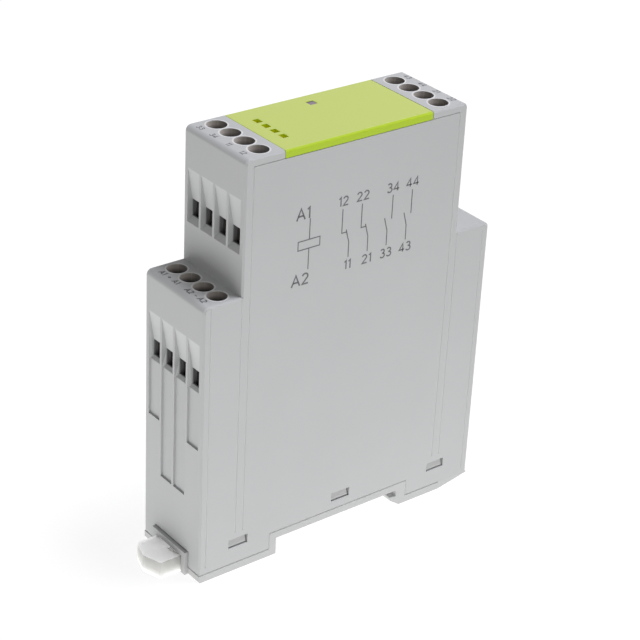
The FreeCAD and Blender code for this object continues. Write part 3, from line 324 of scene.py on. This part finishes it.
def housing():
    """Grey plastic with painted light and shade: paler on the slopes of the funnels, in the upright
    grooves and in a ring round the wells, dim in the terminal chambers, brownish in the wells with
    painted light and shade on their walls."""
    s = moulded("housing_grey", (187, 188, 188))
    place = s.axes(s.object_co)
    # painted light: faces that lean down like the funnels' slopes are made paler
    off_slope = s.size(s.math("ADD", s.normal()[2], FUNNEL_LEAN))
    s.scale_color(s.ramp(off_slope, FUNNEL_PAINTED_LIGHT, 1, 0.04, 0.07))
    # painted shade: the housing is darker inside the terminal chambers
    s.scale_color(s.ramp(terminal_chambers(s, *place), 1, CHAMBER_PAINTED_SHADE))
    wall, wall_tone, rim = screw_wells(s, *place)
    s.mix_color(wall, (190, 183, 177))
    # the painted light and shade on the wells' walls
    s.scale_color(s.math("ADD", s.math("SUBTRACT", 1, wall), wall_tone))
    # painted highlight: a pale ring round each well
    s.scale_color(s.ramp(rim, 1, WELL_RIM_HIGHLIGHT))
    # painted light: the upright grooves are made paler
    s.scale_color(s.ramp(upright_grooves(s), 1, GROOVE_PAINTED_LIGHT))
    return s


def lime_plate():
    """Vivid lime plastic whose top face is painted paler as a painted sheen; a yellower lime in its
    slots.
    """
    s = moulded("front_lime", (176, 205, 8), 0.5)
    x, y, z = s.axes(s.object_co)
    # painted sheen: the top face is made paler and less vivid
    outer = s.product(s.ramp(s.normal()[2], 0, 1, 0.8, 0.97),
                      s.between(z, low=PLATE_HI.z - SHEEN_DEPTH, fade=SHEEN_DEPTH))
    s.mix_color(outer, (192, 205, 106))
    slots = s.product(s.between(s.size(y), high=PLATE_HI.y - SLOT_BORDER),
                      s.between(z, high=PLATE_HI.z - SLOT_DEPTH, fade=SHEEN_DEPTH))
    s.mix_color(slots, (206, 212, 10))
    return s


def milky_clip():
    """Milky plastic that scatters light inside itself, with painted light that makes its up-facing
    faces near-white.
    """
    s = moulded("clip_white", (184, 184, 181), 0.35, Subsurface_Weight=1.0,
                Subsurface_Radius=(1, 1, 1), Subsurface_Scale=10 * MM)
    # painted light: faces turned upwards are made near-white
    s.mix_color(s.ramp(s.normal()[2], 0, 1, 0.2, 0.8), (253, 253, 251))
    return s


def lamp_window():
    """Clear plastic, with painted shade along its edges where it dips behind the plate."""
    s = moulded("lamp_clear", (124, 104, 122), 0.25, height=0)
    low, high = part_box("light_guide")
    place = s.axes(s.object_co)
    reach = [s.math("DIVIDE", s.size(s.math("SUBTRACT", place[k], (low[k] + high[k]) / 2)),
                    (high[k] - low[k]) / 2) for k in (0, 1)]
    # painted shade: the window darkens towards its edges
    s.mix_color(s.ramp(s.math("MAXIMUM", *reach), 0, 1, 0.5, 0.75), (58, 48, 52))
    return s


MATERIALS = {
    "housing_grey": housing(),
    "base_grey": moulded("base_grey", (190, 191, 190)),
    "front_lime": lime_plate(),
    "lamp_clear": lamp_window(),
    "clip_white": milky_clip(),
    "spring_steel": metal("spring_steel", (190, 190, 192), 0.25),
    "board_green": moulded("board_green", (28, 92, 52), 0.35),
    "led_white": moulded("led_white", (235, 235, 228), 0.3),
    "black_plastic": moulded("black_plastic", (30, 30, 32), 0.5),
    "varistor_blue": moulded("varistor_blue", (40, 84, 158), 0.3),
    "can_aluminium": metal("can_aluminium", (200, 202, 206), 0.3),
    "resistor_tan": moulded("resistor_tan", (196, 170, 120), 0.4),
    "relay_black": moulded("relay_black", (38, 38, 40), 0.5),
    "relay_amber": moulded("relay_amber", (204, 150, 66), 0.25),
    "bobbin_white": moulded("bobbin_white", (222, 222, 216), 0.45),
    "copper_wire": metal("copper_wire", (190, 108, 58), 0.3),
    "relay_iron": metal("relay_iron", (156, 158, 162), 0.35),
    "contact_brass": metal("contact_brass", (196, 164, 92), 0.3),
    "bar_tinned": metal("bar_tinned", (200, 198, 190), 0.3),
    "screw_steel": threaded("screw_steel", (128, 126, 122)),
    "clamp_steel": metal("clamp_steel", (96, 93, 88), 0.4),
    "print_grey": moulded("print_grey", (104, 104, 107), 0.6),
    "print_dark": moulded("print_dark", (84, 84, 88), 0.6),
}
SLOT_OF = {row["node"]: row["material_slot"] for row in frame["record"]["subparts"]}
PRINT_SLOT = "housing_grey"


def dress(node, slot):
    """Gives a CAD node its finished material."""
    slots = NODES[node].material_slots
    if not slots:
        NODES[node].data.materials.append(None)
        slots = NODES[node].material_slots
    for s in slots:
        s.material = MATERIALS[slot].material


def finish_mesh(obj):
    """Flat faces stay flat and rounded edges run smoothly into them."""
    for face in obj.data.polygons:
        face.use_smooth = True
    weighted = obj.modifiers.new("weighted", "WEIGHTED_NORMAL")
    weighted.keep_sharp = True
    weighted.weight = 50


def add_piece(name, mesh, body, slot_name, *replaced, look=None):
    """Puts a finished mesh into the scene on its body, with its slot, and its slot's look
    unless another is given."""
    obj = bpy.data.objects.new(name, mesh)
    bpy.context.scene.collection.objects.link(obj)
    mesh.materials.clear()
    mesh.materials.append(MATERIALS[look or slot_name].material)
    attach(obj, body)
    if replaced:
        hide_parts(*replaced)
    return obj


def narrow(face, width):
    """True if a face is thinner than width somewhere, judged by its area and longest edge."""
    return face.calc_area() / max(e.calc_length() for e in face.edges) < width


EDGE_ANGLE = math.radians(30)     # edges sharper than this are rounded
CREASE_ANGLE = math.radians(3)    # two wide faces that meet at more than this stay crisp
CREASE_FACE = 0.8 * MM            # and this is what counts as wide
FLAT_ANGLE = math.radians(0.4)    # facets that meet at less than this are one face
SAME_POINT = 0.001 * MM           # corners nearer than this are one


def rounded_copy(node, width):
    """The mesh of a CAD node as clean flat faces, with its sharp edges rounded."""
    bm = bmesh.new()
    bm.from_mesh(NODES[node].data)
    for edge in bm.edges:
        edge.smooth = not edge.is_boundary
    bmesh.ops.remove_doubles(bm, verts=bm.verts, dist=SAME_POINT)
    bmesh.ops.dissolve_limit(bm, angle_limit=FLAT_ANGLE, verts=bm.verts, edges=bm.edges,
                             use_dissolve_boundaries=False)
    edges = [e for e in bm.edges if len(e.link_faces) == 2 and e.calc_face_angle(0) > EDGE_ANGLE
             and not any(narrow(f, 3 * width) for f in e.link_faces)]
    for edge in edges:
        edge.smooth = True
    bmesh.ops.bevel(bm, geom=edges, offset=width, offset_type="OFFSET", segments=2,
                    profile=0.5, affect="EDGES", clamp_overlap=True)
    creases = [e for e in bm.edges if len(e.link_faces) == 2
               and e.calc_face_angle(0) > CREASE_ANGLE
               and not any(narrow(f, CREASE_FACE) for f in e.link_faces)]
    for crease in creases:
        for vert in crease.verts:
            for edge in vert.link_edges:
                edge.smooth = False
    mesh = bpy.data.meshes.new(node + "_finished")
    bm.to_mesh(mesh)
    bm.free()
    return mesh


BODY_OF = {n: body for body, members in frame["record"]["behaviour"]["bodies"].items()
           for n in members}


def dress_rounded(node, width):
    """Stands a copy with rounded edges in for a CAD node."""
    mesh = rounded_copy(node, width)
    obj = add_piece(node + "_finished", mesh, BODY_OF[node], SLOT_OF[node], node)
    finish_mesh(obj)
    return obj


for name, slot_name in SLOT_OF.items():
    dress(name, slot_name)
for name in ("housing", "front_plate", "rail_base", "rail_clip"):
    dress_rounded(name, BODY_ROUNDING)
for name in SLOT_OF:
    if name.startswith(("screw_", "clamp_")):
        dress_rounded(name, SCREW_ROUNDING)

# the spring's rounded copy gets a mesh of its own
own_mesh(dress_rounded("clip_spring", SPRING_ROUNDING))


# --- print -------------------------------------------------------------------------------
PRINT_HEIGHT = 0.02 * MM


def arc(x, y, rx, ry, start, end, steps=9):
    """Points of an elliptic arc, angles in degrees."""
    angles = [math.radians(start + (end - start) * n / steps) for n in range(steps + 1)]
    return [(x + rx * math.cos(a), y + ry * math.sin(a)) for a in angles]


# strokes of each sign on a field one unit high, and the sign's width in the same unit
SIGNS = {
    "1": ([[(0.02, 0.80), (0.2, 0.96), (0.2, 0.0)]], 0.26),
    "2": ([arc(0.27, 0.71, 0.23, 0.25, 165, -38) + [(0.04, 0.04), (0.54, 0.04)]], 0.56),
    "3": ([arc(0.25, 0.74, 0.2, 0.22, 150, -80) + arc(0.25, 0.27, 0.24, 0.25, 80, -155)], 0.52),
    "4": ([[(0.42, 0.0), (0.42, 0.94), (0.03, 0.25), (0.58, 0.25)]], 0.58),
    "A": ([[(0.0, 0.0), (0.34, 0.98), (0.68, 0.0)], [(0.13, 0.34), (0.55, 0.34)]], 0.68),
    "+": ([[(0.0, 0.5), (0.5, 0.5)], [(0.25, 0.25), (0.25, 0.75)]], 0.5),
    "-": ([[(0.0, 0.5), (0.4, 0.5)]], 0.4),
}
SIGN_SPACE = 0.17         # between two signs
SIGN_STRETCH = 1.2        # signs are this much wider than drawn above


class Ink:
    """Flat raised strokes on one plane, gathered into a single mesh."""

    def __init__(self, origin, right, up):
        self.origin, self.right, self.up = Vector(origin), Vector(right), Vector(up)
        self.out = self.right.cross(self.up)
        self.bm = bmesh.new()

    def stroke(self, points, width, closed=False):
        """Ribbon of that width along (right, up) points in metres."""
        spots = [Vector(p) for p in points]
        count = len(spots)
        edges = []
        for n, spot in enumerate(spots):
            before = spots[n - 1] if n or closed else None
            after = spots[(n + 1) % count] if n < count - 1 or closed else None
            runs = [(b - a).normalized() for a, b in ((before, spot), (spot, after)) if a and b]
            along = sum(runs, Vector((0, 0))).normalized()
            aside = Vector((-along.y, along.x))
            stretch = 1 / max(0.5, along.dot(runs[0]))
            edges.append([spot + aside * side * width / 2 * stretch for side in (1, -1)])
        rings = []
        for left, right in edges:
            ring = []
            for flat, height in ((left, 0), (left, PRINT_HEIGHT), (right, PRINT_HEIGHT), (right, 0)):
                place = self.origin + self.right * flat.x + self.up * flat.y + self.out * height
                ring.append(self.bm.verts.new(place))
            rings.append(ring)
        pairs = list(zip(rings, rings[1:])) + ([(rings[-1], rings[0])] if closed else [])
        for a, b in pairs:
            for n in range(4):
                self.bm.faces.new((a[n - 1], a[n], b[n], b[n - 1]))
        if not closed:
            self.bm.faces.new(rings[0][::-1])
            self.bm.faces.new(rings[-1])

    def text(self, words, middle, height, weight=0.15):
        """A line of signs around a (right, up) point; weight is the stroke's share of the height."""
        across = height * SIGN_STRETCH
        width = sum(SIGNS[c][1] for c in words) + SIGN_SPACE * (len(words) - 1)
        x = middle[0] - width * across / 2
        y = middle[1] - height / 2
        for sign in words:
            strokes, wide = SIGNS[sign]
            for points in strokes:
                self.stroke([(x + u * across, y + v * height) for u, v in points],
                            weight * height)
            x += (wide + SIGN_SPACE) * across

    def finish(self, name, look):
        """Adds the strokes to the scene as one piece of the module."""
        bmesh.ops.recalc_face_normals(self.bm, faces=self.bm.faces)
        mesh = bpy.data.meshes.new(name)
        self.bm.to_mesh(mesh)
        self.bm.free()
        add_piece(name, mesh, "module", PRINT_SLOT, look=look)


def mm(*values):
    return tuple(v * MM for v in values)


def contact_diagram():
    """Coil with its two leads and four contacts, on the near side.  Heights in millimetres."""
    upper_text, lead_end, fixed_end, arm_end = 82.3, 80.4, 74.6, 75.2
    arm_bend, arm_foot, lower_text = 72.0, 68.3, 66.5
    coil_x, coil_half, coil_top, coil_bottom = -12.9, 2.95, 75.5, 73.4
    thin = 0.25 * MM
    big, small = 2.7 * MM, 2.2 * MM
    ink = Ink((0, NEAR_SIDE, 0), (1, 0, 0), (0, 0, 1))
    ink.text("A1", mm(-14.7, 82.0), big)
    ink.text("A2", mm(-14.9, 66.2), big)
    ink.stroke([mm(coil_x + 0.05, 80.5), mm(coil_x + 0.05, coil_top)], thin)
    ink.stroke([mm(coil_x, coil_bottom), mm(coil_x, 68.3)], thin)
    ink.stroke([mm(coil_x - coil_half, coil_top), mm(coil_x + coil_half, coil_top),
                mm(coil_x + coil_half, coil_bottom), mm(coil_x - coil_half, coil_bottom)],
               thin, True)
    # break contacts: the arm rests against a short bar on the fixed lead
    for x, upper, lower in ((-3.95, "12", "11"), (1.43, "22", "21")):
        ink.stroke([mm(x, lead_end), mm(x, fixed_end), mm(x + 1.4, fixed_end)], thin)
        ink.stroke([mm(x + 1.2, arm_end), mm(x + 2.1, arm_bend), mm(x + 2.15, arm_foot)], thin)
        ink.text(upper, mm(x + 0.1, upper_text), small)
        ink.text(lower, mm(x + 2.1, lower_text), small)
    # make contacts: the arm stands apart from the fixed lead
    for x, upper, lower in ((10.1, "34", "33"), (15.65, "44", "43")):
        ink.stroke([mm(x, lead_end), mm(x, fixed_end)], thin)
        ink.stroke([mm(x - 2.05, arm_end), mm(x - 1.15, arm_bend), mm(x - 1.1, arm_foot)], thin)
        ink.text(upper, mm(x - 0.1, upper_text), small)
        ink.text(lower, mm(x - 1.1, lower_text), small)
    ink.finish("contact_diagram", "print_grey")


def terminal_numbers():
    """Numbers beside the screwdriver holes, read from the end with the clip.
    Each row: height, X, size of the signs, look, weight, and the words with their Y."""
    rows = ((BLOCK_TOP, -28.45, 1.3, "print_grey", 0.17,
             (("33", 7.95), ("34", 2.95), ("11", -2.4), ("12", -7.55))),
            (BLOCK_TOP, 28.45, 1.3, "print_grey", 0.17,
             (("43", 7.7), ("44", 2.6), ("21", -2.5), ("22", -7.6))),
            (TIER_TOP, -38.0, 1.35, "print_dark", 0.19,
             (("A1", 7.5), ("+", 5.0), ("A1", 2.4), ("A2", -2.6), ("-", -5.1), ("A2", -7.5))))
    for n, (top, x, height, look, weight, words) in enumerate(rows):
        ink = Ink((0, 0, top), (0, -1, 0), (1, 0, 0))
        for word, y in words:
            ink.text(word, mm(-y, x), height * MM, weight)
        ink.finish(f"terminal_numbers_{n + 1}", look)


contact_diagram()
terminal_numbers()


# --- stage -------------------------------------------------------------------------------
UPPER_FRONT = 0.30        # strengths of the studio light: above and below the horizon,
UPPER_BACK = 0.10         # on the camera's side and behind the object
LOWER_FRONT = 0.36
LOWER_BACK = 0.50
CAMERA_SIDE = (-0.66, -0.75, 0)
FLOOR_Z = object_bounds()[0].z
FLOOR_HALF = 2.0
FLOOR_DIFFUSE = 0.2       # the floor's own colour, which takes the shadow,
FLOOR_GLOW = 0.88         # and the white that the camera sees on top of it
TABLE_X, TABLE_Y = -0.11, -0.08
CAMERA_TURN = (-38.837, 28.342, 2.942)       # azimuth from -Y, elevation and roll, in degrees
CAMERA_TARGET = Vector((0.283, 0, 46.74)) * MM
CAMERA_DISTANCE = 457.84 * MM
CAMERA_LENS = 112.19


def seen_directly(tree):
    """1 for what the camera sees, also in metal and through glass."""
    path = tree.nodes.new("ShaderNodeLightPath")
    seen = path.outputs["Is Camera Ray"]
    for name in ("Is Glossy Ray", "Is Transmission Ray"):
        both = tree.nodes.new("ShaderNodeMath")
        both.operation = "MAXIMUM"
        tree.links.new(seen, both.inputs[0])
        tree.links.new(path.outputs[name], both.inputs[1])
        seen = both.outputs[0]
    return seen


def make_floor():
    """Pale floor that shows the object's shadow and throws no light or shadow of its own."""
    mesh = bpy.data.meshes.new("floor")
    corners = ((-1, -1), (1, -1), (1, 1), (-1, 1))
    mesh.from_pydata([(x * FLOOR_HALF, y * FLOOR_HALF, FLOOR_Z) for x, y in corners],
                     [], [(0, 1, 2, 3)])
    obj = bpy.data.objects.new("floor", mesh)
    bpy.context.scene.collection.objects.link(obj)
    material = bpy.data.materials.new("floor_white")
    material.use_nodes = True
    tree = material.node_tree
    tree.nodes.clear()
    out = tree.nodes.new("ShaderNodeOutputMaterial")
    diffuse = tree.nodes.new("ShaderNodeBsdfDiffuse")
    diffuse.inputs["Color"].default_value = (FLOOR_DIFFUSE,) * 3 + (1,)
    glow = tree.nodes.new("ShaderNodeEmission")
    glow.inputs["Color"].default_value = (1, 1, 1, 1)
    lift = tree.nodes.new("ShaderNodeMath")
    lift.operation = "MULTIPLY"
    lift.inputs[1].default_value = FLOOR_GLOW
    tree.links.new(seen_directly(tree), lift.inputs[0])
    tree.links.new(lift.outputs[0], glow.inputs["Strength"])
    add = tree.nodes.new("ShaderNodeAddShader")
    tree.links.new(diffuse.outputs[0], add.inputs[0])
    tree.links.new(glow.outputs[0], add.inputs[1])
    tree.links.new(add.outputs[0], out.inputs["Surface"])
    mesh.materials.append(material)
    obj.visible_diffuse = False
    obj.visible_shadow = False


def make_world():
    """White for the camera.  The object stands in soft light that is strongest from below
    the horizon and behind, and weakest from above and behind."""
    world = bpy.data.worlds.new("studio")
    bpy.context.scene.world = world
    world.use_nodes = True
    tree = world.node_tree
    tree.nodes.clear()
    link = tree.links.new

    def ramp(source, start, end, low, high):
        made = tree.nodes.new("ShaderNodeMapRange")
        made.interpolation_type = "SMOOTHSTEP"
        made.inputs["From Min"].default_value = start
        made.inputs["From Max"].default_value = end
        for key, value in (("To Min", low), ("To Max", high)):
            if isinstance(value, float):
                made.inputs[key].default_value = value
            else:
                link(value, made.inputs[key])
        link(source, made.inputs["Value"])
        return made.outputs["Result"]

    place = tree.nodes.new("ShaderNodeTexCoord").outputs["Generated"]
    front = tree.nodes.new("ShaderNodeVectorMath")
    front.operation = "DOT_PRODUCT"
    front.inputs[1].default_value = CAMERA_SIDE
    link(place, front.inputs[0])
    parts = tree.nodes.new("ShaderNodeSeparateXYZ")
    link(place, parts.inputs[0])
    # the four strengths run into each other round the horizon and across it
    upper = ramp(front.outputs["Value"], -0.55, 0.35, UPPER_BACK, UPPER_FRONT)
    lower = ramp(front.outputs["Value"], -0.5, 0.5, LOWER_BACK, LOWER_FRONT)
    strength = ramp(parts.outputs["Z"], -0.03, 0.12, lower, upper)
    soft = tree.nodes.new("ShaderNodeBackground")
    soft.inputs["Color"].default_value = (1, 1, 1, 1)
    link(strength, soft.inputs["Strength"])
    white = tree.nodes.new("ShaderNodeBackground")
    white.inputs["Color"].default_value = (1, 1, 1, 1)
    pick = tree.nodes.new("ShaderNodeMixShader")
    link(seen_directly(tree), pick.inputs["Fac"])
    link(soft.outputs[0], pick.inputs[1])
    link(white.outputs[0], pick.inputs[2])
    link(pick.outputs[0], tree.nodes.new("ShaderNodeOutputWorld").inputs["Surface"])


def area_light(name, place, target, size, power, color=(1, 1, 1)):
    """Round lamp of that diameter in metres and power in watts, turned to its target."""
    data = bpy.data.lights.new(name, "AREA")
    data.shape = "DISK"
    data.size = size
    data.energy = power
    data.color = color
    obj = bpy.data.objects.new(name, data)
    obj.location = place
    obj.rotation_mode = "QUATERNION"
    obj.rotation_quaternion = (Vector(target) - Vector(place)).to_track_quat("-Z", "Y")
    bpy.context.scene.collection.objects.link(obj)
    return obj


def make_camera():
    """Camera on the near side, over the end with the clip, a little rolled."""
    azimuth, elevation, roll = map(math.radians, CAMERA_TURN)
    back = Vector((math.sin(azimuth) * math.cos(elevation),
                   -math.cos(azimuth) * math.cos(elevation), math.sin(elevation)))
    right = (-back).cross(Vector((0, 0, 1))).normalized()
    up = right.cross(-back)
    x_axis = right * math.cos(roll) + up * math.sin(roll)
    y_axis = up * math.cos(roll) - right * math.sin(roll)
    data = bpy.data.cameras.new("camera")
    data.lens = CAMERA_LENS
    data.sensor_width = 36
    data.clip_start = 0.01
    camera = bpy.data.objects.new("camera", data)
    rotation = Matrix((x_axis, y_axis, back)).transposed().to_4x4()
    camera.matrix_world = Matrix.Translation(CAMERA_TARGET + back * CAMERA_DISTANCE) @ rotation
    bpy.context.scene.collection.objects.link(camera)
    bpy.context.scene.camera = camera


make_floor()
make_world()
# the upper lamp stands over the other end, so the end with the clip lies in soft shade
area_light("top", (0.25, -0.16, 1.0), (0, 0, 0.05), size=0.3, power=7.2,
           color=(0.985, 0.985, 1.05))
# the lower lamp is a light table under the object
table = area_light("table", (TABLE_X, TABLE_Y, FLOOR_Z - 5 * MM), (TABLE_X, TABLE_Y, 1),
                   size=0.6, power=1.22)
table.visible_camera = False
make_camera()
bpy.context.scene.view_settings.view_transform = "Standard"
